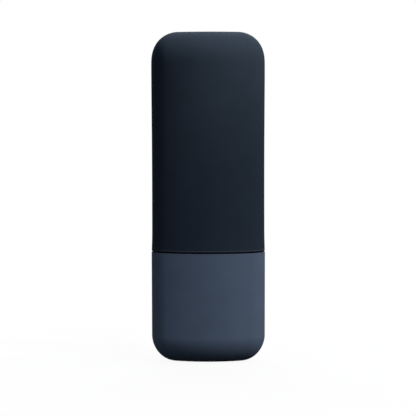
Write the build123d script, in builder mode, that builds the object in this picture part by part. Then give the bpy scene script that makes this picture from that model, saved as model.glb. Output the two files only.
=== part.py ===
from build123d import *
import os

# Razor travel case: a tall cover that lifts off a short base. Each of the two is a closed
# silicone cup stiffened by a rigid liner, and pairs of bar magnets hold them together at the
# seam. The case stands on its foot. +Z is up, the front faces -Y, and sizes are millimetres.

# The closed case: an upright lens, grown all round by the radius of its rounded ends
CASE_WIDTH = 56.5
CASE_DEPTH = 34.0
CASE_HEIGHT = 163.7
END_RADIUS = 13.5
SEAM_HEIGHT = 54.8
SEAM_GAP = 0.4

# Silicone skins. In the closed end a shelf carries the liner, round a well with a chamfered floor
SKIN_WALL = 1.5
END_WALL = 4.0
RIM_CHAMFER = 0.5
WELL_WIDTH = 44.0
WELL_DEPTH = 19.4
WELL_BEVEL = 7.0
WELL_HEIGHT = 7.0
WELL_CHAMFER = 3.2

# Rigid liners, and the neck sleeve that stands up from the base to guide the cover
BASE_LINER_WALL = 2.2
COVER_CLEARANCE = 0.3
NECK_WALL = 1.2
NECK_SEAT = 20.0
NECK_RISE = 12.0
NECK_CHAMFER = 0.4

# Bar magnets, set into the liners' rims along the front and the back
MAGNET_LENGTH = 8.0
MAGNET_WIDTH = 1.2
MAGNET_HEIGHT = 2.4
MAGNET_INSET = 2.5
MAGNET_TURN = 16.0

# Soft grip for the razor's handle, in the mouth of the neck
HANDLE_WIDTH = 13.0
HANDLE_DEPTH = 9.6
HANDLE_BEVEL = 2.4
GRIP_SINK = 0.8
GRIP_HEIGHT = 3.6
GRIP_RIM_WALL = 1.6
GRIP_WEB = 1.3
GRIP_FINGERS = 8
GRIP_SLIT = 1.0
GRIP_BAND = 1.4

# Soft socket for the end of the handle, in a recess of the foot
SOCKET_WIDTH = 15.0
SOCKET_DEPTH = 12.0
SOCKET_HEIGHT = 15.0
SOCKET_BEVEL = 3.0
SOCKET_WALL = 1.2
SOCKET_FLOOR = 1.5
SOCKET_LEAD = 0.7
SOCKET_RECESS = 0.8

# Row of drains through the foot, of which the middle ones go on through the socket
DRAIN_LENGTH = 4.0
DRAIN_WIDTH = 1.6
DRAIN_PITCH = 6.8
DRAIN_COUNT = 4

# Ribbed pad in the closed end of the cover
PAD_WIDTH = 32.0
PAD_DEPTH = 12.0
PAD_BEVEL = 4.0
PAD_THICKNESS = 2.4
PAD_RIB_HEIGHT = 1.6
PAD_RIB_WIDTH = 1.6
PAD_RIB_LENGTH = 10.0
PAD_RIB_PITCH = 5.5
PAD_RIB_COUNT = 5

# Lens inside the case's plan
LENS_WIDTH = CASE_WIDTH - 2 * END_RADIUS
LENS_DEPTH = CASE_DEPTH - 2 * END_RADIUS
LENS_RADIUS = (LENS_WIDTH**2 + LENS_DEPTH**2) / (4 * LENS_DEPTH)

# Insets from the outer wall
BASE_FACE = SKIN_WALL + BASE_LINER_WALL
COVER_FACE = BASE_FACE - COVER_CLEARANCE
NECK_FACE = BASE_FACE + NECK_WALL

# Heights above the foot
BASE_TOP = SEAM_HEIGHT - SEAM_GAP / 2
COVER_BOTTOM = SEAM_HEIGHT + SEAM_GAP / 2
BASE_FLOOR = END_WALL
BASE_SHELF = BASE_FLOOR + WELL_HEIGHT
COVER_CEILING = CASE_HEIGHT - END_WALL
COVER_SHELF = COVER_CEILING - WELL_HEIGHT
NECK_TOP = BASE_TOP + NECK_RISE
GRIP_BOTTOM = NECK_TOP - GRIP_SINK - GRIP_HEIGHT
SOCKET_BOTTOM = BASE_FLOOR - SOCKET_RECESS
PAD_BOTTOM = COVER_CEILING - PAD_THICKNESS


class CaseSection(BaseSketchObject):
    """Plan section of the case, drawn in all round by an inset: the lens, grown."""

    def __init__(self, inset=0.0, mode=Mode.ADD):
        with BuildSketch() as section:
            with BuildLine():
                ThreePointArc((-LENS_WIDTH / 2, 0), (0, LENS_DEPTH / 2), (LENS_WIDTH / 2, 0))
                ThreePointArc((LENS_WIDTH / 2, 0), (0, -LENS_DEPTH / 2), (-LENS_WIDTH / 2, 0))
            make_face()
            if inset < END_RADIUS:
                offset(amount=END_RADIUS - inset, kind=Kind.ARC)
        super().__init__(section.sketch, mode=mode)


class BevelledRectangle(BaseSketchObject):
    """Rectangle with its corners cut off."""

    def __init__(self, width, depth, bevel, mode=Mode.ADD):
        with BuildSketch() as outline:
            Rectangle(width, depth)
            chamfer(outline.vertices(), bevel)
        super().__init__(outline.sketch, mode=mode)


class Capsule(BasePartObject):
    """Outer form of the closed case: the lens made upright, then grown all round."""

    def __init__(self, mode=Mode.ADD):
        with BuildPart() as capsule:
            with BuildSketch(Plane.XY.offset(END_RADIUS)):
                CaseSection(END_RADIUS)
            extrude(amount=CASE_HEIGHT - 2 * END_RADIUS)
            offset(amount=END_RADIUS, kind=Kind.ARC)
        super().__init__(capsule.part, mode=mode)


class SkinHollow(BasePartObject):
    """Hollow of a skin: straight from its mouth to the shelf, then the well in its closed end."""

    def __init__(self, mouth, shelf, end, mode=Mode.SUBTRACT):
        with BuildPart() as hollow:
            with BuildSketch(Plane.XY.offset(mouth)):
                CaseSection(SKIN_WALL)
            extrude(amount=shelf - mouth)
            with BuildSketch(Plane.XY.offset(shelf)):
                BevelledRectangle(WELL_WIDTH, WELL_DEPTH, WELL_BEVEL)
            extrude(amount=end - shelf)
            end_face = hollow.faces().sort_by_distance((0, 0, end))[0]
            chamfer(end_face.edges(), WELL_CHAMFER)
        super().__init__(hollow.part, mode=mode)


class Drains(BasePartObject):
    """Row of drain slots between two heights."""

    def __init__(self, count, bottom, top, mode=Mode.SUBTRACT):
        with BuildPart() as drains:
            with BuildSketch(Plane.XY.offset(bottom)):
                with GridLocations(DRAIN_PITCH, 0, count, 1):
                    Rectangle(DRAIN_LENGTH, DRAIN_WIDTH)
            extrude(amount=top - bottom)
        super().__init__(drains.part, mode=mode)


class CaseRing(BasePartObject):
    """Upright ring that follows the case's plan, between two heights and two insets."""

    def __init__(self, bottom, top, outer_inset, inner_inset, mode=Mode.ADD):
        with BuildPart() as ring:
            with BuildSketch(Plane.XY.offset(bottom)):
                CaseSection(outer_inset)
                CaseSection(inner_inset, mode=Mode.SUBTRACT)
            extrude(amount=top - bottom)
        super().__init__(ring.part, mode=mode)


def magnet_places(height):
    """Places of the magnets at a height, each turned to follow the front or the back face."""
    arc_centre = LENS_RADIUS - LENS_DEPTH / 2
    reach = LENS_RADIUS + END_RADIUS - MAGNET_INSET
    places = []
    for centre, heading in ((arc_centre, -90), (-arc_centre, 90)):
        for turn in (-MAGNET_TURN, MAGNET_TURN):
            swing = Location((0, centre, height), (0, 0, heading + turn))
            places.append(swing * Location((reach, 0, 0), (0, 0, 90)))
    return places


def make_magnets(name, height):
    """The bar magnets of one liner, each a piece of its own, by name."""
    magnets = {}
    for number, place in enumerate(magnet_places(height), start=1):
        with BuildPart() as magnet:
            with Locations(place):
                Box(MAGNET_LENGTH, MAGNET_WIDTH, MAGNET_HEIGHT)
        magnets[f"{name}_{number}"] = magnet
    return magnets


# Silicone skin of the base, which the case stands on, with the recess and drains of its foot
with BuildPart() as base_skin:
    Capsule()
    split(bisect_by=Plane.XY.offset(BASE_TOP), keep=Keep.BOTTOM)
    chamfer(base_skin.faces().sort_by(Axis.Z)[-1].edges(), RIM_CHAMFER)
    SkinHollow(BASE_TOP, BASE_SHELF, BASE_FLOOR)
    with BuildSketch(Plane.XY.offset(SOCKET_BOTTOM)):
        BevelledRectangle(SOCKET_WIDTH, SOCKET_DEPTH, SOCKET_BEVEL)
    extrude(amount=SOCKET_RECESS, mode=Mode.SUBTRACT)
    Drains(DRAIN_COUNT, 0, BASE_FLOOR)

# Rigid liner of the base, with the pockets of its magnets
with BuildPart() as base_liner:
    CaseRing(BASE_SHELF, BASE_TOP, SKIN_WALL, BASE_FACE)
    with Locations(*magnet_places(BASE_TOP - MAGNET_HEIGHT / 2)):
        Box(MAGNET_LENGTH, MAGNET_WIDTH, MAGNET_HEIGHT, mode=Mode.SUBTRACT)

# Rigid neck sleeve, pressed into the liner of the base
with BuildPart() as neck_sleeve:
    CaseRing(BASE_TOP - NECK_SEAT, NECK_TOP, BASE_FACE, NECK_FACE)
    chamfer(neck_sleeve.faces().sort_by(Axis.Z)[-1].outer_wire().edges(), NECK_CHAMFER)

# Soft grip: a rim in the neck's mouth, and a web slit into fingers round the handle
with BuildPart() as handle_grip:
    CaseRing(GRIP_BOTTOM, GRIP_BOTTOM + GRIP_HEIGHT, NECK_FACE, NECK_FACE + GRIP_RIM_WALL)
    with BuildSketch(Plane.XY.offset(GRIP_BOTTOM)):
        CaseSection(NECK_FACE + GRIP_RIM_WALL)
    extrude(amount=GRIP_WEB)
    with BuildSketch(Plane.XY.offset(GRIP_BOTTOM)):
        with PolarLocations(0, GRIP_FINGERS // 2, start_angle=180 / GRIP_FINGERS, angular_range=180):
            Rectangle(CASE_WIDTH, GRIP_SLIT)
        BevelledRectangle(HANDLE_WIDTH, HANDLE_DEPTH, HANDLE_BEVEL)
        CaseSection(NECK_FACE + GRIP_RIM_WALL + GRIP_BAND, mode=Mode.INTERSECT)
    extrude(amount=GRIP_WEB, mode=Mode.SUBTRACT)

# Soft socket: a cup with a chamfered mouth and a drained floor
with BuildPart() as handle_socket:
    with BuildSketch(Plane.XY.offset(SOCKET_BOTTOM)):
        BevelledRectangle(SOCKET_WIDTH, SOCKET_DEPTH, SOCKET_BEVEL)
    extrude(amount=SOCKET_HEIGHT)
    with BuildSketch(Plane.XY.offset(SOCKET_BOTTOM + SOCKET_FLOOR)):
        BevelledRectangle(SOCKET_WIDTH, SOCKET_DEPTH, SOCKET_BEVEL)
        offset(amount=-SOCKET_WALL)
    extrude(amount=SOCKET_HEIGHT - SOCKET_FLOOR, mode=Mode.SUBTRACT)
    chamfer(handle_socket.faces().sort_by(Axis.Z)[-1].inner_wires().edges(), SOCKET_LEAD)
    Drains(DRAIN_COUNT // 2, SOCKET_BOTTOM, SOCKET_BOTTOM + SOCKET_FLOOR)

# Silicone skin of the cover
with BuildPart() as cover_skin:
    Capsule()
    split(bisect_by=Plane.XY.offset(COVER_BOTTOM), keep=Keep.TOP)
    chamfer(cover_skin.faces().sort_by(Axis.Z)[0].edges(), RIM_CHAMFER)
    SkinHollow(COVER_BOTTOM, COVER_SHELF, COVER_CEILING)

# Rigid liner of the cover, with the pockets of its magnets
with BuildPart() as cover_liner:
    CaseRing(COVER_BOTTOM, COVER_SHELF, SKIN_WALL, COVER_FACE)
    with Locations(*magnet_places(COVER_BOTTOM + MAGNET_HEIGHT / 2)):
        Box(MAGNET_LENGTH, MAGNET_WIDTH, MAGNET_HEIGHT, mode=Mode.SUBTRACT)

# Soft pad on the end's flat, with ribs that keep the razor's head off it
with BuildPart() as head_pad:
    with BuildSketch(Plane.XY.offset(PAD_BOTTOM)):
        BevelledRectangle(PAD_WIDTH, PAD_DEPTH, PAD_BEVEL)
    extrude(amount=PAD_THICKNESS)
    with BuildSketch(Plane.XY.offset(PAD_BOTTOM)):
        with GridLocations(PAD_RIB_PITCH, 0, PAD_RIB_COUNT, 1):
            Rectangle(PAD_RIB_WIDTH, PAD_RIB_LENGTH)
    extrude(amount=-PAD_RIB_HEIGHT)

pieces = {
    "base_skin": base_skin,
    "base_liner": base_liner,
    "neck_sleeve": neck_sleeve,
    "handle_grip": handle_grip,
    "handle_socket": handle_socket,
    "cover_skin": cover_skin,
    "cover_liner": cover_liner,
    "head_pad": head_pad,
    **make_magnets("base_magnet", BASE_TOP - MAGNET_HEIGHT / 2),
    **make_magnets("cover_magnet", COVER_BOTTOM + MAGNET_HEIGHT / 2),
}

os.makedirs("parts", exist_ok=True)
for name, piece in pieces.items():
    piece.part.label = name
    export_step(piece.part, f"parts/{name}.step")
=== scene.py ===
"""Studio scene of a silicone travel case for a razor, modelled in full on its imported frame."""
import logging
import math
from abc import ABC, abstractmethod
from dataclasses import dataclass
from enum import Enum
from typing import Any, Iterable, Sequence

import bmesh
import bpy
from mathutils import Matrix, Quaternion, Vector


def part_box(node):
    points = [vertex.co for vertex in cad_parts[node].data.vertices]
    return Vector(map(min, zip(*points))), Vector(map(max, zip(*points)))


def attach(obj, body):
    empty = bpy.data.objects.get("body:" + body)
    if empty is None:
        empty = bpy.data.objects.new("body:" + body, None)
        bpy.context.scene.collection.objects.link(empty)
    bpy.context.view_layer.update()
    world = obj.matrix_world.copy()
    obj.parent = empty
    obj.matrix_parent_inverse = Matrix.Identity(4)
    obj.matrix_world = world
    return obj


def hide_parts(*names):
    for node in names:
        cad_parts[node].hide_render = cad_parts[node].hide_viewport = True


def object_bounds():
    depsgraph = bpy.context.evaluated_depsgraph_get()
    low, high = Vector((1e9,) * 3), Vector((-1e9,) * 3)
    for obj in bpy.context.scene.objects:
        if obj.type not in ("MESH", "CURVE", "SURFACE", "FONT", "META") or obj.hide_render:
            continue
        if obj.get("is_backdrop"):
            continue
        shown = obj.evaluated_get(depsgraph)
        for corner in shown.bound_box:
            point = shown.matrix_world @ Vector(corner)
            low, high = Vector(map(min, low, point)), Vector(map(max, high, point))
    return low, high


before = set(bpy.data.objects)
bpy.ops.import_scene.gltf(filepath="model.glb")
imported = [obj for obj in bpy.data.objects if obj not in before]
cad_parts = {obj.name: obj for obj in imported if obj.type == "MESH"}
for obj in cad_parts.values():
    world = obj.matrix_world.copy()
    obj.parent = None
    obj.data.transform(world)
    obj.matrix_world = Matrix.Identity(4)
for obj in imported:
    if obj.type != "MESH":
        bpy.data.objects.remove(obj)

MM = 0.001
PHOTO_PIXELS = 416

Colour = tuple[float, float, float]
Rgba = tuple[float, float, float, float]
Loop = list[bmesh.types.BMVert]

log = logging.getLogger("razor_case")


class Body(Enum):
    """The bodies that pieces ride on."""

    BASE = "base"
    COVER = "cover"


class Slot(Enum):
    """The record's material slots."""

    COVER_SILICONE = "cover_silicone"
    BASE_SILICONE = "base_silicone"
    LINER_PLASTIC = "liner_plastic"
    NECK_PLASTIC = "neck_plastic"
    INSERT_SILICONE = "insert_silicone"
    MAGNET_NICKEL = "magnet_nickel"


# Outlines, profiles and shells

# Points nearer than SAME_POINT are one point, and the chords of an arc stay within ARC_SAG of it.
SAME_POINT = 1e-7
ARC_SAG = 0.01 * MM
WIDEST_ARC_STEP = math.radians(18)
END_STEPS = 26
QUARTER_STEPS = 34
SHARPEST_SMOOTH_ANGLE = math.radians(34)


@dataclass(frozen=True)
class Corner:
    """A corner of a drawn line, with the radius that rounds it."""

    x: float
    y: float
    radius: float = 0.0

    @property
    def at(self) -> Vector:
        """The corner as a point."""
        return Vector((self.x, self.y))

    def arc(self, previous: "Corner", following: "Corner") -> list[Vector]:
        """Draws the arc that rounds the corner, smaller where it is too long for the lines beside it.

        Args:
            previous: The corner that the line comes from.
            following: The corner that it goes on to.

        Returns:
            The points of the arc, close enough together for it to look round.
        """
        back, ahead = previous.at - self.at, following.at - self.at
        half = back.angle(ahead) / 2
        reach = min(
            self.radius / math.tan(half),
            back.length / (2 if previous.radius else 1),
            ahead.length / (2 if following.radius else 1),
        )
        radius = reach * math.tan(half)
        before, after = back.normalized(), ahead.normalized()
        centre = self.at + (before + after).normalized() * (radius / math.sin(half))
        first = self.at + before * reach - centre
        last = self.at + after * reach - centre
        turn = math.pi - 2 * half
        step = min(WIDEST_ARC_STEP, 2 * math.acos(1 - min(1.0, ARC_SAG / radius)))
        count = max(2, math.ceil(turn / step))
        points = []
        for number in range(count + 1):
            share = number / count
            spoke = first * math.sin(turn * (1 - share)) + last * math.sin(turn * share)
            points.append(centre + spoke / math.sin(turn))
        return points


def rounded(corners: Sequence[Corner], closed: bool = False) -> list[Vector]:
    """Draws a line through corners, with an arc at each that has a radius.

    Args:
        corners: The corners in their order.
        closed: Whether the line goes on from the last corner to the first.

    Returns:
        The points of the line.
    """
    line: list[Vector] = []
    for place, corner in enumerate(corners):
        is_end = not closed and place in (0, len(corners) - 1)
        if corner.radius > 0 and not is_end:
            points = corner.arc(corners[place - 1], corners[(place + 1) % len(corners)])
        else:
            points = [corner.at]
        line += [point for point in points if not line or (point - line[-1]).length > SAME_POINT]
    return line


def through(wall: float, bottom: float, top: float, edge: float) -> list[Vector]:
    """Draws the profile of a hole through a plate.

    Args:
        wall: Growth of the hole's wall.
        bottom: Height of the lower mouth.
        top: Height of the upper mouth.
        edge: Radius that rounds both mouths.

    Returns:
        Growths and heights, from the lower mouth to the upper one.
    """
    return rounded([
        Corner(wall + edge, bottom),
        Corner(wall, bottom, edge),
        Corner(wall, top, edge),
        Corner(wall + edge, top),
    ])


@dataclass(frozen=True)
class EndShape:
    """Rounding of a closed end: a quarter of an ellipse, with powers that fill out its two halves."""

    length: float
    growth_power: float
    height_power: float

    def profile(self, growth: float, end: float, inward: int) -> list[Vector]:
        """Draws the rounding.

        Args:
            growth: Growth of the wall.
            end: Height of the case's end.
            inward: 1 where the case lies above that end, and -1 where it lies below.

        Returns:
            Growths and heights, from the end's middle to the wall.
        """
        points = []
        for step in range(END_STEPS + 1):
            angle = math.pi / 2 * (step / END_STEPS)
            out = math.sin(angle) ** (2 / self.growth_power)
            back = math.cos(angle) ** (2 / self.height_power)
            points.append(Vector((growth * out, end + inward * self.length * (1 - back))))
        return points


@dataclass(frozen=True)
class Station:
    """A point of an outline's core, and the direction in which the outline grows from it."""

    core: Vector
    outward: Vector


class Outline:
    """Closed outline in plan, anticlockwise, that can be drawn at any growth."""

    def __init__(self, stations: Iterable[Station]) -> None:
        """Keeps the stations in their order."""
        self.stations = tuple(stations)

    def points(self, growth: float) -> list[Vector]:
        """The outline at a growth, as points in plan."""
        return [station.core + station.outward * growth for station in self.stations]

    def ring(self, growth: float, height: float) -> list[Vector]:
        """The outline at a growth and a height, as points in space."""
        return [Vector((*point, height)) for point in self.points(growth)]

    def moved(self, centre: Vector, turn: float = 0.0) -> "Outline":
        """Turns the outline round its origin, and then moves it.

        Args:
            centre: Where the origin goes.
            turn: The angle of the turn, anticlockwise.

        Returns:
            The outline in its new place.
        """
        cosine, sine = math.cos(turn), math.sin(turn)

        def swung(point: Vector) -> Vector:
            """A point after the turn."""
            return Vector((point.x * cosine - point.y * sine, point.x * sine + point.y * cosine))

        return Outline(Station(centre + swung(s.core), swung(s.outward)) for s in self.stations)

    def reach(self, growth: float, start: Vector, way: Vector) -> float:
        """Measures how far a ray runs before it meets the outline.

        Args:
            growth: Growth of the outline.
            start: The point inside from which the ray starts.
            way: The ray's direction.

        Returns:
            The length of the ray.

        Raises:
            ValueError: The ray meets no edge of the outline.
        """
        parallel, slack = 1e-12, 1e-6
        points = self.points(growth)
        for first, last in zip(points, points[1:] + points[:1]):
            edge, offset = last - first, first - start
            across = way.x * edge.y - way.y * edge.x
            if abs(across) < parallel:
                continue
            along_ray = (offset.x * edge.y - offset.y * edge.x) / across
            along_edge = (offset.x * way.y - offset.y * way.x) / across
            if along_ray > 0 and -slack <= along_edge <= 1 + slack:
                return along_ray
        raise ValueError("the ray starts outside the outline")


class QuarteredOutline(Outline, ABC):
    """Outline that is alike in its four quarters, each with the same number of stations."""

    def __init__(self, steps: int) -> None:
        """Lays out the stations of each quarter, both of its ends included.

        Args:
            steps: Steps of a quarter.
        """
        stations = []
        for quarter, (side, front) in enumerate(((1, 1), (-1, 1), (-1, -1), (1, -1))):
            for step in range(steps + 1):
                angle = math.pi / 2 * (quarter + step / steps)
                outward = Vector((math.cos(angle), math.sin(angle)))
                core = self.quarter_core(abs(outward.x), abs(outward.y))
                stations.append(Station(Vector((core.x * side, core.y * front)), outward))
        super().__init__(stations)

    @abstractmethod
    def quarter_core(self, across: float, ahead: float) -> Vector:
        """Point of the first quarter's core that lies furthest in a direction."""


class Lens(QuarteredOutline):
    """Outline grown from a lens, which is two equal arcs that meet in two points."""

    def __init__(self, width: float, depth: float) -> None:
        """Works out the arcs.

        Args:
            width: Width of the lens, from tip to tip.
            depth: Depth of the lens, across its middle.
        """
        self.half_width = width / 2
        self.radius = (width**2 + depth**2) / (4 * depth)
        self.arc_centre = self.radius - depth / 2
        super().__init__(QUARTER_STEPS)

    def quarter_core(self, across: float, ahead: float) -> Vector:
        """Point on the arc, or the lens's tip for directions beyond the arc.

        Args:
            across: Share of the direction that points along the width.
            ahead: Share of the direction that points along the depth.

        Returns:
            The point.
        """
        if across < self.half_width / self.radius:
            return Vector((across * self.radius, ahead * self.radius - self.arc_centre))
        return Vector((self.half_width, 0.0))


class Bar(QuarteredOutline):
    """Outline grown from a rectangle, so that its corners are round by their growth."""

    def __init__(self, width: float, depth: float, corner: float, steps: int = QUARTER_STEPS) -> None:
        """Draws in the rectangle, so that it has its full size when its growth is the corner's radius.

        Args:
            width: Full width.
            depth: Full depth.
            corner: Radius of the corners.
            steps: Steps of a quarter.
        """
        self.half_width = width / 2 - corner
        self.half_depth = depth / 2 - corner
        super().__init__(steps)

    def quarter_core(self, across: float, ahead: float) -> Vector:
        """The corner of the rectangle."""
        return Vector((self.half_width, self.half_depth))


class Drawn(Outline):
    """Outline through given points, that grows square to its edges."""

    def __init__(self, points: Sequence[Vector]) -> None:
        """Gives each point the direction between those of its two edges.

        Args:
            points: The points, anticlockwise.
        """
        # No point grows more than twice as far as a straight edge, however sharp its corner is.
        least_cosine = 0.5
        stations = []
        for place, point in enumerate(points):
            before = (point - points[place - 1]).normalized()
            after = (points[(place + 1) % len(points)] - point).normalized()
            along = (before + after).normalized()
            square = Vector((along.y, -along.x))
            stations.append(Station(point, square / max(least_cosine, before.dot(along))))
        super().__init__(stations)


class Shell:
    """The surface of one piece, put together from rings of points."""

    def __init__(self) -> None:
        """Starts with an empty surface."""
        self.surface = bmesh.new()

    def loop(self, points: Sequence[Vector]) -> Loop:
        """Lays a ring of points.

        Args:
            points: The points in their order.

        Returns:
            One vertex for each point, shared by neighbours that fall together.
        """
        made: Loop = []
        for point in points:
            if made and (point - made[-1].co).length < SAME_POINT:
                made.append(made[-1])
            elif len(made) > 2 and (point - made[0].co).length < SAME_POINT:
                made.append(made[0])
            else:
                made.append(self.surface.verts.new(point))
        return made

    def bridge(self, first: Loop, second: Loop) -> None:
        """Makes the faces between two loops.

        Args:
            first: The one loop.
            second: The other, with as many points.
        """
        count = len(first)
        for place in range(count):
            after = (place + 1) % count
            corners = [first[place], first[after], second[after], second[place]]
            distinct = list(dict.fromkeys(corners))
            if len(distinct) > 2:
                self.surface.faces.new(distinct)

    def run(
        self, outline: Outline, profile: Iterable[Vector], start: Loop | None = None
    ) -> tuple[Loop, Loop]:
        """Runs an outline along a profile.

        Args:
            outline: The outline of every ring.
            profile: Growth and height of each ring.
            start: A loop that the first ring is joined to, if any.

        Returns:
            The first and the last loop.
        """
        loops = [start] if start else []
        for growth, height in profile:
            loops.append(self.loop(outline.ring(growth, height)))
            if len(loops) > 1:
                self.bridge(loops[-2], loops[-1])
        return loops[0], loops[-1]

    def panel(self, outside: Loop, *holes: Loop) -> None:
        """Makes a flat face.

        Args:
            outside: The loop round the face.
            holes: The loops of its holes, if any.
        """
        if not holes:
            self.surface.faces.new(list(dict.fromkeys(outside)))
            return
        known = self.surface.edges
        edges = []
        for loop in (outside, *holes):
            for pair in zip(loop, loop[1:] + loop[:1]):
                if pair[0] is not pair[1]:
                    edges.append(known.get(pair) or known.new(pair))
        bmesh.ops.triangle_fill(self.surface, use_beauty=True, edges=edges)

    def piece(self, name: str) -> bpy.types.Object:
        """Ends the surface, smooth but for its sharp edges.

        Args:
            name: The object's name.

        Returns:
            The surface as an object of the scene.
        """
        bmesh.ops.recalc_face_normals(self.surface, faces=self.surface.faces)
        mesh = bpy.data.meshes.new(name)
        self.surface.to_mesh(mesh)
        self.surface.free()
        mesh.shade_smooth()
        mesh.set_sharp_from_angle(angle=SHARPEST_SMOOTH_ANGLE)
        made = bpy.data.objects.new(name, mesh)
        bpy.context.scene.collection.objects.link(made)
        weighting = made.modifiers.new("flat_faces_stay_flat", "WEIGHTED_NORMAL")
        weighting.keep_sharp = True
        return made


# Shader graph


class Link:
    """A socket of a shader graph, so that shader maths reads as plain sums."""

    def __init__(self, graph: "Graph", socket: bpy.types.NodeSocket | None) -> None:
        """Wraps an output socket of a graph's node, if the node has one."""
        self.graph = graph
        self.socket = socket

    def combined(self, operation: str, first: "Link | float", second: "Link | float") -> "Link":
        """Adds a Math node for one operation on two values."""
        return self.graph.node("ShaderNodeMath", {"operation": operation}, {0: first, 1: second})

    def __add__(self, other: "Link | float") -> "Link":
        """self + other."""
        return self.combined("ADD", self, other)

    def __radd__(self, other: float) -> "Link":
        """other + self."""
        return self.combined("ADD", other, self)

    def __sub__(self, other: "Link | float") -> "Link":
        """self - other."""
        return self.combined("SUBTRACT", self, other)

    def __rsub__(self, other: float) -> "Link":
        """other - self."""
        return self.combined("SUBTRACT", other, self)

    def __mul__(self, other: "Link | float") -> "Link":
        """self * other."""
        return self.combined("MULTIPLY", self, other)

    def __rmul__(self, other: float) -> "Link":
        """other * self."""
        return self.combined("MULTIPLY", other, self)


class Graph:
    """The nodes of one material or of the world."""

    def __init__(self, owner: bpy.types.Material | bpy.types.World) -> None:
        """Empties the owner's node tree.

        Args:
            owner: The material or world.
        """
        owner.use_nodes = True
        self.tree = owner.node_tree
        self.tree.nodes.clear()

    def node(
        self,
        kind: str,
        settings: dict[str, Any] | None = None,
        inputs: dict[str | int, Any] | None = None,
        output: str | int = 0,
    ) -> Link:
        """Adds a node.

        Args:
            kind: The node's type.
            settings: Its own settings, which are set first. "stops" are a ramp's two positions and greys.
            inputs: Values or links of its sockets, by name or by number.
            output: The output that is wanted, by name or by number.

        Returns:
            The link of that output.
        """
        made = self.tree.nodes.new(kind)
        for name, value in (settings or {}).items():
            if name == "stops":
                for element, (position, level) in zip(made.color_ramp.elements, value):
                    element.position = position
                    element.color = grey(level)
            else:
                setattr(made, name, value)
        for name, value in (inputs or {}).items():
            socket = made.inputs[name]
            if isinstance(value, Link):
                self.tree.links.new(value.socket, socket)
            else:
                socket.default_value = value
        return Link(self, made.outputs[output] if len(made.outputs) else None)

    def millimetres(self, stretch: Vector = Vector((1.0, 1.0, 1.0))) -> Link:
        """Finds the place on the piece.

        Args:
            stretch: Factor of each axis.

        Returns:
            The place in millimetres, stretched.
        """
        place = self.node("ShaderNodeTexCoord", output="Object")
        scale = tuple(stretch / MM)
        return self.node("ShaderNodeVectorMath", {"operation": "MULTIPLY"}, {0: place, 1: scale})

    def blend(self, share: Link | float, first: Any, second: Any) -> Link:
        """Mixes two colours, of which the second shows by its share."""
        settings = {"data_type": "RGBA", "clamp_factor": True}
        return self.node("ShaderNodeMix", settings, {0: share, 6: first, 7: second}, output=2)

    def ramp(self, value: Link, start: float, end: float) -> Link:
        """0 where a value is at or below the start, 1 at or above the end, and a straight rise between."""
        return self.node("ShaderNodeValToRGB", {"stops": ((start, 0.0), (end, 1.0))}, {0: value})

    def end(self, shader: Link, kind: str = "ShaderNodeOutputMaterial") -> None:
        """Joins a shader to the output."""
        self.node(kind, inputs={"Surface": shader})


def as_seen(red: float, green: float, blue: float) -> Rgba:
    """Turns a colour as it shows on a screen into one for a shader, by the sRGB curve.

    Args:
        red: Red from 0 to 255.
        green: Green from 0 to 255.
        blue: Blue from 0 to 255.

    Returns:
        The linear colour.
    """

    def linear(value: float) -> float:
        """One channel."""
        share = value / 255
        return share / 12.92 if share <= 0.04045 else ((share + 0.055) / 1.055) ** 2.4

    return (linear(red), linear(green), linear(blue), 1.0)


def scaled(colour: Sequence[float], factor: float) -> Rgba:
    """A linear colour made lighter or darker."""
    return (colour[0] * factor, colour[1] * factor, colour[2] * factor, 1.0)


def grey(level: float) -> Rgba:
    """A linear grey."""
    return (level, level, level, 1.0)


# Finishes


@dataclass(frozen=True)
class Mottle:
    """Noise from 0 to 1 over a piece, whose patches have a size in millimetres."""

    size: float
    detail: float = 2.0
    roughness: float = 0.5
    stretch: Vector = Vector((1.0, 1.0, 1.0))

    def over(self, graph: Graph) -> Link:
        """Adds the noise to a material.

        Args:
            graph: The material's nodes.

        Returns:
            The noise.
        """
        inputs = {
            "Vector": graph.millimetres(self.stretch),
            "Scale": 1 / self.size,
            "Detail": self.detail,
            "Roughness": self.roughness,
        }
        return graph.node("ShaderNodeTexNoise", inputs=inputs)


@dataclass(frozen=True, kw_only=True)
class Relief(Mottle):
    """Noise that also bends the surface, over a depth in millimetres."""

    depth: float
    strength: float

    def bump(self, graph: Graph, height: Link, under: Link | None = None) -> Link:
        """Bends the surface.

        Args:
            graph: The material's nodes.
            height: Height from 0 to 1, which is the noise or is made from it.
            under: A coarser relief that lies under this one, if any.

        Returns:
            The direction that the surface faces.
        """
        inputs = {"Height": height, "Distance": self.depth * MM, "Strength": self.strength}
        if under:
            inputs["Normal"] = under
        return graph.node("ShaderNodeBump", inputs=inputs)


@dataclass(frozen=True, kw_only=True)
class Finish(ABC):
    """A surface finish, which makes its own material.

    Its tint is the colour as it shows on a screen, from 0 to 255.
    """

    name: str
    tint: Colour

    @abstractmethod
    def inputs(self, graph: Graph) -> dict[str | int, Any]:
        """Inputs of the finish's shader, by name."""

    def material(self) -> bpy.types.Material:
        """Makes the material.

        Returns:
            The finish as a material.
        """
        made = bpy.data.materials.new(self.name)
        graph = Graph(made)
        graph.end(graph.node("ShaderNodeBsdfPrincipled", inputs=self.inputs(graph)))
        return made

    def shaded(self, graph: Graph, share: Link, darkest: float, lightest: float = 1.0) -> Link:
        """Lets the tint vary.

        Args:
            graph: The material's nodes.
            share: 0 where the tint is darkest, and 1 where it is lightest.
            darkest: Factor of the tint where it is darkest.
            lightest: Factor of the tint where it is lightest.

        Returns:
            The colour.
        """
        pigment = as_seen(*self.tint)
        return graph.blend(share, scaled(pigment, darkest), scaled(pigment, lightest))


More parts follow.
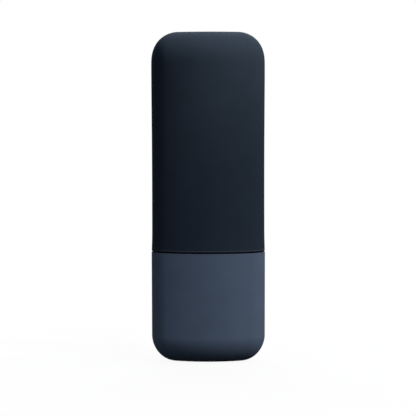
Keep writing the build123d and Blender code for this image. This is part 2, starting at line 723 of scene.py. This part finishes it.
@dataclass(frozen=True)
class Band:
    """A band round a skin, at a height in millimetres, painted in another tone: the bands here paint shade
    and highlights.

    It is full up to a share of its reach, fades out from there, and is uneven along its length.
    """

    height: float
    reach: float
    tint: Colour
    full_share: float = 0.5
    least: float = 0.8
    unevenness: float = 0.4

    def lay(self, graph: Graph, tone: Link, clouds: Link) -> Link:
        """Lays the band over a skin.

        Args:
            graph: The material's nodes.
            tone: The colour without the band.
            clouds: Noise from 0 to 1 that makes the band uneven.

        Returns:
            The colour with the band.
        """
        height = graph.node("ShaderNodeSeparateXYZ", inputs={0: graph.millimetres()}, output="Z")
        away = graph.node("ShaderNodeMath", {"operation": "ABSOLUTE"}, {0: height - self.height})
        strength = graph.ramp(1 - away * (1 / self.reach), 0.0, 1 - self.full_share)
        return graph.blend(strength * (self.least + self.unevenness * clouds), tone, as_seen(*self.tint))


@dataclass(frozen=True, kw_only=True)
class SoftSilicone(Finish):
    """Soft-touch silicone: a powdery matt skin with cloudy pigment, a fine grain and a little lint."""

    roughness: float = 0.68
    roughness_spread: float = 0.08
    specular: float = 0.003
    bands: tuple[Band, ...] = ()
    clouds: Mottle = Mottle(9.0, detail=3.0)
    cloud_limits: tuple[float, float] = (0.3, 0.7)
    cloud_depth: float = 0.08
    grain: Relief = Relief(0.22, roughness=0.6, depth=0.03, strength=0.5)
    lint: Mottle = Mottle(0.45, detail=1.0)
    lint_limits: tuple[float, float] = (0.68, 0.74)
    lint_share: float = 0.14
    lint_paleness: float = 3.0

    def inputs(self, graph: Graph) -> dict[str | int, Any]:
        """Pigment with lint and any bands of painted shade and highlight, and roughness and grain that vary
        over the skin.

        Args:
            graph: The material's nodes.

        Returns:
            The shader's inputs, by name.
        """
        clouds = self.clouds.over(graph)
        deep = self.cloud_depth / 2
        tone = self.shaded(graph, graph.ramp(clouds, *self.cloud_limits), 1 - deep, 1 + deep)
        for band in self.bands:
            tone = band.lay(graph, tone, clouds)
        lint = graph.ramp(self.lint.over(graph), *self.lint_limits)
        pale = scaled(as_seen(*self.tint), self.lint_paleness)
        return {
            "Base Color": graph.blend(self.lint_share * lint, tone, pale),
            "Roughness": self.roughness + self.roughness_spread * (clouds - 0.5),
            "Specular IOR Level": self.specular,
            "Normal": self.grain.bump(graph, self.grain.over(graph)),
        }


@dataclass(frozen=True, kw_only=True)
class ErodedPlastic(Finish):
    """Moulded plastic with the fine matt texture of a spark-eroded tool."""

    roughness: float = 0.55
    roughness_spread: float = 0.1
    specular: float = 0.35
    pits: Relief = Relief(0.16, detail=3.0, roughness=0.65, depth=0.03, strength=0.6)
    flow: Mottle = Mottle(6.0, stretch=Vector((1.0, 1.0, 0.3)))
    flow_depth: float = 0.24

    def inputs(self, graph: Graph) -> dict[str | int, Any]:
        """Tiny pits, and faint clouds where the plastic flowed together.

        Args:
            graph: The material's nodes.

        Returns:
            The shader's inputs, by name.
        """
        pits = self.pits.over(graph)
        deep = self.flow_depth / 2
        return {
            "Base Color": self.shaded(graph, self.flow.over(graph), 1 - deep, 1 + deep),
            "Roughness": self.roughness + self.roughness_spread * (pits - 0.5),
            "Specular IOR Level": self.specular,
            "Normal": self.pits.bump(graph, pits),
        }


@dataclass(frozen=True, kw_only=True)
class SlidPlastic(Finish):
    """Satin plastic of the neck, marked along its length by the cover that slides over it."""

    roughness: float = 0.42
    scratched_roughness: float = 0.12
    specular: float = 0.4
    streaks: Relief = Relief(
        0.3, detail=4.0, roughness=0.7, stretch=Vector((1.0, 1.0, 0.035)), depth=0.01, strength=0.4
    )
    scratch_limits: tuple[float, float] = (0.56, 0.64)
    scratch_share: float = 0.5
    scratch_paleness: float = 1.7
    pits: Relief = Relief(0.12, depth=0.01, strength=0.4)

    def inputs(self, graph: Graph) -> dict[str | int, Any]:
        """Faint upright scratches over a smooth plastic with tiny pits.

        Args:
            graph: The material's nodes.

        Returns:
            The shader's inputs, by name.
        """
        scratches = graph.ramp(self.streaks.over(graph), *self.scratch_limits)
        pitted = self.pits.bump(graph, self.pits.over(graph))
        return {
            "Base Color": self.shaded(graph, self.scratch_share * scratches, 1.0, self.scratch_paleness),
            "Roughness": self.roughness + self.scratched_roughness * scratches,
            "Specular IOR Level": self.specular,
            "Normal": self.streaks.bump(graph, scratches, pitted),
        }


@dataclass(frozen=True, kw_only=True)
class TumbledNickel(Finish):
    """Nickel plate on a tumbled magnet: dulled by fine marks, with a warm tone."""

    roughness: float = 0.3
    roughness_spread: float = 0.2
    darkest: float = 0.85
    marks: Relief = Relief(
        0.25, detail=4.0, roughness=0.7, stretch=Vector((1.0, 4.0, 1.0)), depth=0.006, strength=0.5
    )
    dents: Relief = Relief(0.7, detail=1.0, depth=0.03, strength=0.4)

    def inputs(self, graph: Graph) -> dict[str | int, Any]:
        """Short crossing marks and small dents in the plate.

        Args:
            graph: The material's nodes.

        Returns:
            The shader's inputs, by name.
        """
        marks = self.marks.over(graph)
        dented = self.dents.bump(graph, self.dents.over(graph))
        return {
            "Base Color": self.shaded(graph, marks, self.darkest),
            "Metallic": 1.0,
            "Roughness": self.roughness + self.roughness_spread * marks,
            "Normal": self.marks.bump(graph, marks, dented),
        }


# Painted shade: the cover's skin is darkened along the parting line, where the gap between cover and base
# lies in shadow.
PARTING_LINE_SHADE_BAND = Band(55.3, 0.55, (18, 21, 28))
# Rubbed wear and a painted highlight: the cover's rim is paler where hands rub it, and where its lip would
# catch the light.
RIM_WEAR_AND_HIGHLIGHT_BAND = Band(55.88, 0.32, (50, 54, 61))
# Painted shade: the base's rim is a little darker just under the cover's lip.
BASE_RIM_SHADE_BAND = Band(54.6, 0.8, (65, 73, 89))

FINISHES: dict[Slot, Finish] = {
    Slot.COVER_SILICONE: SoftSilicone(
        name="navy_silicone", tint=(31, 38, 47), bands=(PARTING_LINE_SHADE_BAND, RIM_WEAR_AND_HIGHLIGHT_BAND)
    ),
    Slot.BASE_SILICONE: SoftSilicone(name="slate_silicone", tint=(69, 79, 94), bands=(BASE_RIM_SHADE_BAND,)),
    Slot.LINER_PLASTIC: ErodedPlastic(name="eroded_plastic", tint=(38, 41, 47)),
    Slot.NECK_PLASTIC: SlidPlastic(name="slid_plastic", tint=(52, 56, 63)),
    Slot.INSERT_SILICONE: SoftSilicone(
        name="dark_silicone", tint=(58, 62, 70), roughness=0.5, specular=0.3, clouds=Mottle(4.0, detail=3.0)
    ),
    Slot.MAGNET_NICKEL: TumbledNickel(name="tumbled_nickel", tint=(205, 202, 194)),
}


class Workshop:
    """Turns finished shells into pieces on the frame, and keeps one material for each slot."""

    def __init__(self) -> None:
        """Makes the materials of all slots."""
        self.materials = {slot: finish.material() for slot, finish in FINISHES.items()}

    def deliver(self, shell: Shell, node: str, body: Body, slot: Slot) -> bpy.types.Object:
        """Makes the piece that stands for a node.

        Args:
            shell: The piece's surface.
            node: The node of the frame that the piece stands for.
            body: The body that it rides on.
            slot: The material slot that it takes its finish from.

        Returns:
            The piece.
        """
        piece = shell.piece(f"{node}_finished")
        piece.data.materials.append(self.materials[slot])
        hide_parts(node)
        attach(piece, body.value)
        log.info("%s: %d faces, on %s", piece.name, len(piece.data.polygons), body.value)
        return piece


# The case


@dataclass(frozen=True)
class CaseForm:
    """Plan and heights of the whole case. Its plan grows by end_radius to the outer wall."""

    width: float
    depth: float
    height: float
    base_top: float
    base_shelf: float
    cover_bottom: float
    cover_shelf: float
    end_radius: float = 13.5 * MM
    end_thickness: float = 4.0 * MM

    @classmethod
    def from_frame(cls) -> "CaseForm":
        """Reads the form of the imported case, with its rims and the shelves that carry its liners.

        Returns:
            The form.
        """
        low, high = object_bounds()
        return cls(
            *(high - low),
            base_top=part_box("base_skin")[1].z,
            base_shelf=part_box("base_liner")[0].z,
            cover_bottom=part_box("cover_skin")[0].z,
            cover_shelf=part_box("cover_liner")[1].z,
        )

    @property
    def plan(self) -> Lens:
        """The outline that the whole case is grown from."""
        return Lens(self.width - 2 * self.end_radius, self.depth - 2 * self.end_radius)

    def growth_of(self, node: str) -> float:
        """Growth of the outside of a ring-shaped node."""
        low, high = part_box(node)
        return self.end_radius - (self.width - (high.x - low.x)) / 2


@dataclass
class Assembly(ABC):
    """A part of the case whose pieces are made together."""

    workshop: Workshop
    form: CaseForm

    @abstractmethod
    def build(self) -> None:
        """Makes the pieces."""


@dataclass
class MagnetRow(Assembly):
    """Bar magnets in the rim of a liner, two at the front and two at the back."""

    body: Body
    rim: float
    length: float = 8.0 * MM
    width: float = 1.2 * MM
    corner: float = 0.2 * MM
    corner_steps: int = 5
    edge: float = 0.12 * MM
    play: float = 0.05 * MM
    count: int = 4

    def node(self, number: int) -> str:
        """Name of a magnet's node."""
        return f"{self.body.value}_magnet_{number}"

    def outline(self, number: int) -> Outline:
        """Draws a magnet square to the wall behind it.

        Args:
            number: The magnet's number.

        Returns:
            The outline, whose growth is the corner's radius.
        """
        low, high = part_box(self.node(number))
        centre = ((low + high) / 2).xy
        arc_centre = Vector((0.0, math.copysign(self.form.plan.arc_centre, -centre.y)))
        heading = centre - arc_centre
        turn = math.atan2(heading.y, heading.x) + math.pi / 2
        return Bar(self.length, self.width, self.corner, self.corner_steps).moved(centre, turn)

    def sink(self, shell: Shell, floor_height: float) -> list[Loop]:
        """Sinks the pockets into a liner.

        Args:
            shell: The liner.
            floor_height: Height of the pockets' floors.

        Returns:
            The mouths of the pockets, at the rim.
        """
        growth = self.corner + self.play
        mouths = []
        for number in range(1, self.count + 1):
            profile = [Vector((growth, self.rim)), Vector((growth, floor_height))]
            mouth, floor = shell.run(self.outline(number), profile)
            shell.panel(floor)
            mouths.append(mouth)
        return mouths

    def build(self) -> None:
        """Makes the magnets, a little smaller than their pockets."""
        growth = self.corner - self.play
        for number in range(1, self.count + 1):
            low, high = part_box(self.node(number))
            profile = rounded([
                Corner(0.0, low.z),
                Corner(growth, low.z, self.edge),
                Corner(growth, high.z, self.edge),
                Corner(0.0, high.z),
            ])
            shell = Shell()
            first, last = shell.run(self.outline(number), profile)
            shell.panel(first)
            shell.panel(last)
            self.workshop.deliver(shell, self.node(number), self.body, Slot.MAGNET_NICKEL)


@dataclass
class LinerRing(Assembly):
    """Rigid liner: a ring that follows the case's plan, with the magnets sunk into its rim."""

    body: Body
    node: str
    inner_growth: float
    edge: float = 0.2 * MM

    def build(self) -> None:
        """Makes the liner and its magnets."""
        low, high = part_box(self.node)
        magnet_low, magnet_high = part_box(f"{self.body.value}_magnet_1")
        if self.body is Body.BASE:
            rim, far_end, pocket_floor = high.z, low.z, magnet_low.z
        else:
            rim, far_end, pocket_floor = low.z, high.z, magnet_high.z
        outer, inner = self.form.growth_of(self.node), self.inner_growth
        profile = rounded([
            Corner(outer, rim),
            Corner(outer, far_end, self.edge),
            Corner(inner, far_end, self.edge),
            Corner(inner, rim, self.edge),
            Corner(inner + self.edge, rim),
        ])
        shell = Shell()
        outer_mouth, inner_mouth = shell.run(self.form.plan, profile)
        magnets = MagnetRow(self.workshop, self.form, self.body, rim)
        shell.panel(outer_mouth, inner_mouth, *magnets.sink(shell, pocket_floor))
        self.workshop.deliver(shell, self.node, self.body, Slot.LINER_PLASTIC)
        magnets.build()


@dataclass(frozen=True)
class Well:
    """Hollow in a closed end, beyond the liner."""

    width: float = 44.0 * MM
    depth: float = 19.4 * MM
    corner: float = 8.5 * MM
    end_edge: float = 3.2 * MM

    def sink(self, shell: Shell, shelf: Loop, shelf_height: float, end_height: float) -> Loop:
        """Sinks the well into a skin.

        Args:
            shell: The skin.
            shelf: The loop round the shelf that carries the liner.
            shelf_height: Height of that shelf.
            end_height: Height of the well's end.

        Returns:
            The loop round the well's end.
        """
        profile = rounded([
            Corner(self.corner, shelf_height),
            Corner(self.corner, end_height, self.end_edge),
            Corner(self.corner - self.end_edge, end_height),
        ])
        _, end = shell.run(Bar(self.width, self.depth, self.corner), profile, start=shelf)
        return end


@dataclass
class Foot:
    """Row of drains through the closed lower end of the base: slots with round ends."""

    pitch: float = 6.8 * MM
    length: float = 4.0 * MM
    width: float = 1.6 * MM
    end_steps: int = 8
    edge: float = 0.35 * MM
    count: int = 4
    count_in_recess: int = 2

    def drains(self, count: int) -> list[Outline]:
        """Draws the middle drains.

        Args:
            count: How many.

        Returns:
            Their outlines, from left to right.
        """
        slot = Bar(self.length, self.width, self.width / 2, self.end_steps)
        first = -self.pitch * (count - 1) / 2
        return [slot.moved(Vector((first + self.pitch * number, 0.0))) for number in range(count)]

    def pierce(
        self, shell: Shell, drains: Iterable[Outline], bottom: float, top: float, edge: float
    ) -> list[tuple[Loop, Loop]]:
        """Cuts drains between two heights.

        Args:
            shell: The piece that is cut.
            drains: The drains' outlines.
            bottom: Height of the lower mouths.
            top: Height of the upper mouths.
            edge: Radius that rounds the mouths.

        Returns:
            The lower and the upper mouth of each drain.
        """
        return [shell.run(drain, through(self.width / 2, bottom, top, edge)) for drain in drains]


@dataclass
class Base(Assembly):
    """Short lower piece that the case stands on: skin, liner and magnets.

    Its wall leans in from the rim to the rounding of its end, by side_inset.
    """

    foot: Foot
    rim_edge: float = 0.3 * MM
    side_inset: float = 0.08 * MM
    end_shape: EndShape = EndShape(length=12.8 * MM, growth_power=2.34, height_power=1.8)
    well: Well = Well()

    def build(self) -> None:
        """Makes the skin, then the liner with its magnets."""
        self.build_skin()
        neck_growth = self.form.growth_of("neck_sleeve")
        LinerRing(self.workshop, self.form, Body.BASE, "base_liner", neck_growth).build()

    def build_skin(self) -> None:
        """Makes the skin from its foot up the outside, over the rim and down into the well."""
        form, shell = self.form, Shell()
        sole, shelf = shell.run(form.plan, self.outside())
        well_floor = self.well.sink(shell, shelf, form.base_shelf, form.end_thickness)
        self.cut_foot(shell, sole, well_floor)
        self.workshop.deliver(shell, "base_skin", Body.BASE, Slot.BASE_SILICONE)

    def outside(self) -> list[Vector]:
        """Draws the skin's profile from the sole to the shelf that carries the liner.

        Returns:
            Growths and heights.
        """
        form = self.form
        side, inner = form.end_radius - self.side_inset, form.growth_of("base_liner")
        over_rim = rounded([
            Corner(side, self.end_shape.length),
            Corner(form.end_radius, form.base_top, self.rim_edge),
            Corner(inner, form.base_top),
            Corner(inner, form.base_shelf),
        ])
        return self.end_shape.profile(side, 0.0, inward=1) + over_rim[1:]

    def cut_foot(self, shell: Shell, sole: Loop, well_floor: Loop) -> None:
        """Sinks the recess of the handle's socket, and cuts the drains.

        Args:
            shell: The skin.
            sole: The loop round the sole.
            well_floor: The loop round the well's floor.
        """
        low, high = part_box("handle_socket")
        socket, corner, floor = high - low, HandleSocket.corner, self.form.end_thickness
        walls = [Vector((corner, floor)), Vector((corner, low.z))]
        recess_mouth, recess_floor = shell.run(Bar(socket.x, socket.y, corner), walls)
        foot = self.foot
        leftmost, *_, rightmost = foot.drains(foot.count)
        in_recess = foot.pierce(shell, foot.drains(foot.count_in_recess), 0.0, low.z, foot.edge)
        beside_it = foot.pierce(shell, (leftmost, rightmost), 0.0, floor, foot.edge)
        shell.panel(sole, *(lower for lower, _ in in_recess + beside_it))
        shell.panel(recess_floor, *(upper for _, upper in in_recess))
        shell.panel(well_floor, recess_mouth, *(upper for _, upper in beside_it))


@dataclass
class HandleSocket(Assembly):
    """Soft cup on the floor of the base, for the end of the razor's handle."""

    foot: Foot
    corner: float = 4.0 * MM
    wall: float = 1.2 * MM
    floor: float = 1.5 * MM
    lead: float = 0.6 * MM
    edge: float = 0.3 * MM
    drain_edge: float = 0.15 * MM

    def build(self) -> None:
        """Makes the cup, with a rounded mouth and a drained floor."""
        low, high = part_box("handle_socket")
        size = high - low
        inner, floor_height = self.corner - self.wall, low.z + self.floor
        profile = rounded([
            Corner(self.corner - self.edge, low.z),
            Corner(self.corner, low.z, self.edge),
            Corner(self.corner, high.z, self.edge),
            Corner(inner, high.z, self.lead),
            Corner(inner, floor_height, self.edge),
            Corner(inner - self.edge, floor_height),
        ])
        shell = Shell()
        sole, floor = shell.run(Bar(size.x, size.y, self.corner), profile)
        slots = self.foot.drains(self.foot.count_in_recess)
        drains = self.foot.pierce(shell, slots, low.z, floor_height, self.drain_edge)
        shell.panel(sole, *(lower for lower, _ in drains))
        shell.panel(floor, *(upper for _, upper in drains))
        self.workshop.deliver(shell, "handle_socket", Body.BASE, Slot.INSERT_SILICONE)


@dataclass
class Neck(Assembly):
    """Sleeve that guides the cover, with the soft grip for the handle in its mouth."""

    lip: float = 0.5 * MM
    inner_lip: float = 0.2 * MM
    rim_wall: float = 1.6 * MM
    rim_edge: float = 0.45 * MM
    web: float = 1.3 * MM
    web_edge: float = 0.35 * MM
    unslit_band: float = 1.4 * MM
    slit: float = 1.0 * MM
    slit_end: float = 0.45 * MM
    fingertip: float = 0.8 * MM
    fingertip_angle: float = math.radians(13)
    fingers: int = 8
    hole_width: float = 13.0 * MM
    hole_depth: float = 9.6 * MM
    hole_corner: float = 3.2 * MM
    hole_steps: int = 8

    def build(self) -> None:
        """Makes the sleeve and the grip."""
        self.build_sleeve()
        self.build_grip()

    def build_sleeve(self) -> None:
        """Makes the sleeve, with a rounded lip that the cover slides over."""
        low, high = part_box("neck_sleeve")
        outer, inner = self.form.growth_of("neck_sleeve"), self.form.growth_of("handle_grip")
        corners = [
            Corner(outer, low.z, self.inner_lip),
            Corner(outer, high.z, self.lip),
            Corner(inner, high.z, self.inner_lip),
            Corner(inner, low.z, self.inner_lip),
        ]
        shell = Shell()
        first, last = shell.run(self.form.plan, rounded(corners, closed=True))
        shell.bridge(last, first)
        self.workshop.deliver(shell, "neck_sleeve", Body.BASE, Slot.NECK_PLASTIC)

    def finger_hole(self, grip_inside: float) -> Outline:
        """Draws the hole between the fingers: the handle's hole, with a slit between each two fingers.

        Args:
            grip_inside: Growth of the inside of the grip's rim.

        Returns:
            The outline of the hole.
        """
        hole = Bar(self.hole_width, self.hole_depth, self.hole_corner, self.hole_steps)
        plan, slit_growth = self.form.plan, grip_inside - self.unslit_band
        corners: list[Corner] = []
        for finger in range(self.fingers):
            angle = 2 * math.pi * (finger + 0.5) / self.fingers
            along = Vector((math.cos(angle), math.sin(angle)))
            across = Vector((-along.y, along.x))
            sides = [across * (-self.slit / 2), across * (self.slit / 2)]
            ends = [side + along * plan.reach(slit_growth, side, along) for side in sides]
            mouths = [side + along * hole.reach(self.hole_corner, side, along) for side in sides]
            corners += [
                Corner(*mouths[0], self.fingertip),
                Corner(*ends[0], self.slit_end),
                Corner(*ends[1], self.slit_end),
                Corner(*mouths[1], self.fingertip),
            ]
            corners += self.finger_edge(hole, angle)
        return Drawn(rounded(corners, closed=True))

    def finger_edge(self, hole: Outline, angle: float) -> list[Corner]:
        """Draws the end of a finger, along the handle's hole.

        Args:
            hole: The handle's hole.
            angle: Direction of the slit before the finger.

        Returns:
            The corners from that slit to the next one.
        """
        start = angle + self.fingertip_angle
        end = angle + 2 * math.pi / self.fingers - self.fingertip_angle
        found = []
        for point in hole.points(self.hole_corner):
            heading = math.atan2(point.y, point.x) % (2 * math.pi)
            for lap in (heading, heading + 2 * math.pi):
                if start < lap < end:
                    found.append((lap, Corner(point.x, point.y)))
        found.sort(key=lambda pair: pair[0])
        return [corner for _, corner in found]

    def build_grip(self) -> None:
        """Makes the grip: a rim in the sleeve's mouth, and a web that is slit into fingers."""
        low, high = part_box("handle_grip")
        outer, web_top = self.form.growth_of("handle_grip"), low.z + self.web
        inner = outer - self.rim_wall
        profile = rounded([
            Corner(inner, low.z),
            Corner(outer, low.z, self.rim_edge),
            Corner(outer, high.z, self.rim_edge),
            Corner(inner, high.z, self.rim_edge),
            Corner(inner, web_top, self.rim_edge),
            Corner(inner - self.rim_edge, web_top),
        ])
        shell = Shell()
        under, over = shell.run(self.form.plan, profile)
        lower, upper = shell.run(self.finger_hole(inner), through(0.0, low.z, web_top, self.web_edge))
        shell.panel(under, lower)
        shell.panel(over, upper)
        self.workshop.deliver(shell, "handle_grip", Body.BASE, Slot.INSERT_SILICONE)


@dataclass
class HeadPad(Assembly):
    """Soft pad in the cover's closed end, with ribs that keep the razor's head off its plate."""

    corner: float = 5.0 * MM
    edge: float = 0.5 * MM
    thickness: float = 2.4 * MM
    rib_width: float = 1.6 * MM
    rib_length: float = 10.0 * MM
    rib_pitch: float = 5.5 * MM
    rib_count: int = 5
    rib_end_steps: int = 8

    def build(self) -> None:
        """Makes the pad."""
        low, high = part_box("head_pad")
        face = high.z - self.thickness
        profile = rounded([
            Corner(self.corner, high.z),
            Corner(self.corner, face, self.edge),
            Corner(self.corner - self.edge, face),
        ])
        shell = Shell()
        back, front = shell.run(Bar(high.x - low.x, high.y - low.y, self.corner), profile)
        shell.panel(back)
        shell.panel(front, *self.raise_ribs(shell, face, low.z))
        pad = self.workshop.deliver(shell, "head_pad", Body.COVER, Slot.INSERT_SILICONE)

    def raise_ribs(self, shell: Shell, face: float, crest_height: float) -> list[Loop]:
        """Raises the ribs from the plate.

        Args:
            shell: The pad.
            face: Height of the plate's face.
            crest_height: Height of the ribs' crests.

        Returns:
            The loops round the ribs' feet.
        """
        wall = self.rib_width / 2
        rib = Bar(self.rib_width, self.rib_length, wall, self.rib_end_steps)
        profile = rounded([
            Corner(wall, face),
            Corner(wall, crest_height, self.edge),
            Corner(wall - self.edge, crest_height),
        ])
        feet = []
        for number in range(self.rib_count):
            centre = Vector(((number - (self.rib_count - 1) / 2) * self.rib_pitch, 0.0))
            foot, crest = shell.run(rib.moved(centre), profile)
            shell.panel(crest)
            feet.append(foot)
        return feet


@dataclass
class Cover(Assembly):
    """Tall upper piece: skin, liner, magnets and pad.

    Its wall is drawn in a little from a straight one: by shoulder_inset where the rounding of its end
    starts, by rim_inset at the rim, and between them by a waist, whose corners give offset and height.
    """

    rim_edge: float = 0.3 * MM
    rim_inset: float = 0.05 * MM
    end_shape: EndShape = EndShape(length=16.2 * MM, growth_power=1.95, height_power=2.49)
    shoulder_inset: float = 0.08 * MM
    waist: tuple[Corner, ...] = (
        Corner(-0.07 * MM, 143.0 * MM, 1000 * MM),
        Corner(-0.28 * MM, 109.0 * MM, 3000 * MM),
        Corner(-0.32 * MM, 87.0 * MM, 3000 * MM),
        Corner(-0.28 * MM, 62.0 * MM, 200 * MM),
    )
    neck_clearance: float = 0.3 * MM
    well: Well = Well()

    def build(self) -> None:
        """Makes the skin, the liner with its magnets, and the pad."""
        self.build_skin()
        inner_growth = self.form.growth_of("neck_sleeve") + self.neck_clearance
        LinerRing(self.workshop, self.form, Body.COVER, "cover_liner", inner_growth).build()
        HeadPad(self.workshop, self.form).build()

    def build_skin(self) -> None:
        """Makes the skin from its end down the outside, round the rim and up into the well."""
        form, shell = self.form, Shell()
        end, shelf = shell.run(form.plan, self.outside())
        shell.panel(end)
        ceiling = form.height - form.end_thickness
        shell.panel(self.well.sink(shell, shelf, form.cover_shelf, ceiling))
        self.workshop.deliver(shell, "cover_skin", Body.COVER, Slot.COVER_SILICONE)

    def outside(self) -> list[Vector]:
        """Draws the skin's profile from its closed end to the shelf that carries the liner.

        Returns:
            Growths and heights.
        """
        form = self.form
        wall, inner = form.end_radius, form.growth_of("cover_liner")
        shoulder = wall - self.shoulder_inset
        down_the_wall = rounded([
            Corner(shoulder, form.height - self.end_shape.length),
            *(Corner(wall + corner.x, corner.y, corner.radius) for corner in self.waist),
            Corner(wall - self.rim_inset, form.cover_bottom, self.rim_edge),
            Corner(inner, form.cover_bottom),
            Corner(inner, form.cover_shelf),
        ])
        return self.end_shape.profile(shoulder, form.height, inward=-1) + down_the_wall[1:]


# The studio


@dataclass(frozen=True, kw_only=True)
class Lamp(ABC):
    """A lamp that faces the case. Its level is how bright it makes a white card look there."""

    name: str
    azimuth: float
    elevation: float
    level: float
    distance: float = 1.5
    tint: Colour = (1.0, 1.0, 1.0)
    aim_height: float = 0.08

    @abstractmethod
    def light(self) -> bpy.types.Light:
        """The lamp's light, at its level."""

    def hang(self) -> None:
        """Hangs the lamp so that it faces the case. Its azimuth runs from the front to the right."""
        around, up = math.radians(self.azimuth), math.radians(self.elevation)
        way = Vector((math.sin(around) * math.cos(up), -math.cos(around) * math.cos(up), math.sin(up)))
        light = self.light()
        light.color = self.tint
        made = bpy.data.objects.new(self.name, light)
        made.location = Vector((0.0, 0.0, self.aim_height)) + way * self.distance
        made.rotation_euler = (-way).to_track_quat("-Z", "Y").to_euler()
        bpy.context.scene.collection.objects.link(made)


@dataclass(frozen=True, kw_only=True)
class Softbox(Lamp):
    """Rectangular lamp that lights the case softly."""

    width: float
    height: float

    def light(self) -> bpy.types.Light:
        """Makes an area light of the lamp's size.

        Returns:
            The light.
        """
        made = bpy.data.lights.new(self.name, "AREA")
        made.shape = "RECTANGLE"
        made.size, made.size_y = self.width, self.height
        made.energy = self.level * (math.pi * self.distance) ** 2
        return made


@dataclass(frozen=True, kw_only=True)
class SpotLamp(Lamp):
    """Narrow lamp whose pool of light fades out from its middle."""

    pool_radius: float
    bulb_radius: float = 0.02

    def light(self) -> bpy.types.Light:
        """Makes a spot light whose cone is as wide as the pool where it meets the case.

        Returns:
            The light.
        """
        made = bpy.data.lights.new(self.name, "SPOT")
        made.spot_size = 2 * math.atan(self.pool_radius / self.distance)
        made.spot_blend = 1.0
        made.shadow_soft_size = self.bulb_radius
        made.energy = self.level * (2 * math.pi * self.distance) ** 2
        return made


LAMPS: tuple[Lamp, ...] = (
    Softbox(
        name="key", azimuth=45, elevation=40, level=0.886, tint=(0.969, 1.0, 1.03), width=0.5, height=0.7
    ),
    Softbox(
        name="side", azimuth=90, elevation=40, level=0.448, tint=(1.048, 1.0, 0.894), width=0.5, height=0.9
    ),
    Softbox(name="back", azimuth=180, elevation=45, level=1.244, width=1.2, height=0.6),
    SpotLamp(
        name="shoulder", azimuth=60, elevation=45, level=1.74, tint=(1.075, 1.0, 0.867),
        aim_height=0.168, pool_radius=0.06,
    ),
)


@dataclass
class Studio:
    """Plain white studio: floor, light and camera.

    The floor shows as plain white, with a small share of a grey floor near the case that takes its shadow.
    Towards the case it is nearly black, so that little light comes from below.
    """

    camera_distance: float = 0.875
    camera_height: float = 0.125
    aim: Vector = Vector((-0.00011, 0.0, 0.07635))
    roll: float = -0.0016
    pixels_per_radian: float = 1760.0
    sensor_width: float = 36.0
    floor_radius: float = 30.0
    floor_steps: int = 16
    floor_bounce_grey: float = 0.04
    floor_shadow_grey: float = 0.46
    shadow_share: float = 0.07
    shadow_reach: float = 0.35
    ambient: float = 0.459
    ambient_tint: Colour = (0.886, 1.0, 1.157)

    def build(self) -> None:
        """Makes the studio round the case."""
        self.build_floor()
        self.build_world()
        for lamp in LAMPS:
            lamp.hang()
        self.build_camera()
        bpy.context.scene.view_settings.view_transform = "Standard"

    def seen(self, graph: Graph) -> Link:
        """Tells rays that show a surface from those that only bring its light.

        Args:
            graph: The nodes of a material or of the world.

        Returns:
            1 for rays that come from the camera, or by way of metal or glass, and 0 for others.
        """
        camera, glossy, clear = (
            graph.node("ShaderNodeLightPath", output=name)
            for name in ("Is Camera Ray", "Is Glossy Ray", "Is Transmission Ray")
        )
        return 1 - (1 - camera) * (1 - glossy) * (1 - clear)

    def build_floor(self) -> None:
        """Makes a wide white floor, which keeps a faint shadow near the case."""
        shell = Shell()
        disc = Bar(self.floor_radius, self.floor_radius, self.floor_radius / 2, self.floor_steps)
        shell.run(disc, [Vector((0.0, 0.0)), Vector((self.floor_radius / 2, 0.0))])
        floor = shell.piece("floor")
        material = bpy.data.materials.new("white_floor")
        graph = Graph(material)
        place = graph.node("ShaderNodeNewGeometry", output="Position")
        radius = graph.node("ShaderNodeVectorMath", {"operation": "LENGTH"}, {0: place}, output="Value")
        nearness = graph.node(
            "ShaderNodeMapRange",
            {"interpolation_type": "SMOOTHSTEP"},
            {"Value": radius, "From Min": 0.0, "From Max": self.shadow_reach, "To Min": 1.0, "To Max": 0.0},
        )
        white = graph.node("ShaderNodeEmission", inputs={"Color": grey(1.0), "Strength": 1.0})
        lit = graph.node("ShaderNodeBsdfDiffuse", inputs={"Color": grey(self.floor_shadow_grey)})
        share = self.shadow_share * nearness
        shown = graph.node("ShaderNodeMixShader", inputs={0: share, 1: white, 2: lit})
        dull = graph.node("ShaderNodeBsdfDiffuse", inputs={"Color": grey(self.floor_bounce_grey)})
        graph.end(graph.node("ShaderNodeMixShader", inputs={0: self.seen(graph), 1: dull, 2: shown}))
        floor.data.materials.append(material)
        floor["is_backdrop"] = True

    def build_world(self) -> None:
        """Makes a world that looks white, and lights the case only dimly."""
        world = bpy.data.worlds.new("white_studio")
        graph = Graph(world)
        white = graph.node("ShaderNodeBackground", inputs={"Color": grey(1.0), "Strength": 1.0})
        dim_inputs = {"Color": (*self.ambient_tint, 1.0), "Strength": self.ambient}
        dim = graph.node("ShaderNodeBackground", inputs=dim_inputs)
        mixed = graph.node("ShaderNodeMixShader", inputs={0: self.seen(graph), 1: dim, 2: white})
        graph.end(mixed, "ShaderNodeOutputWorld")
        bpy.context.scene.world = world

    def build_camera(self) -> None:
        """Places the camera at the photograph's viewing angle."""
        lens = bpy.data.cameras.new("camera")
        lens.sensor_width = self.sensor_width
        lens.lens = self.pixels_per_radian * self.sensor_width / PHOTO_PIXELS
        camera = bpy.data.objects.new("camera", lens)
        camera.location = Vector((0.0, -self.camera_distance, self.camera_height))
        level = (self.aim - camera.location).to_track_quat("-Z", "Y")
        camera.rotation_euler = (level @ Quaternion((0.0, 0.0, 1.0), self.roll)).to_euler()
        bpy.context.scene.collection.objects.link(camera)
        bpy.context.scene.camera = camera


def main() -> None:
    """Builds the case on its frame, then the studio round it, and logs the faces of each finished piece."""
    logging.basicConfig(level=logging.INFO, format="%(message)s")
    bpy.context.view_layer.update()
    workshop, form, foot = Workshop(), CaseForm.from_frame(), Foot()
    assemblies: tuple[Assembly, ...] = (
        Base(workshop, form, foot),
        HandleSocket(workshop, form, foot),
        Neck(workshop, form),
        Cover(workshop, form),
    )
    for assembly in assemblies:
        log.info("building %s", type(assembly).__name__)
        assembly.build()
    Studio().build()


if __name__ == "__main__":
    main()
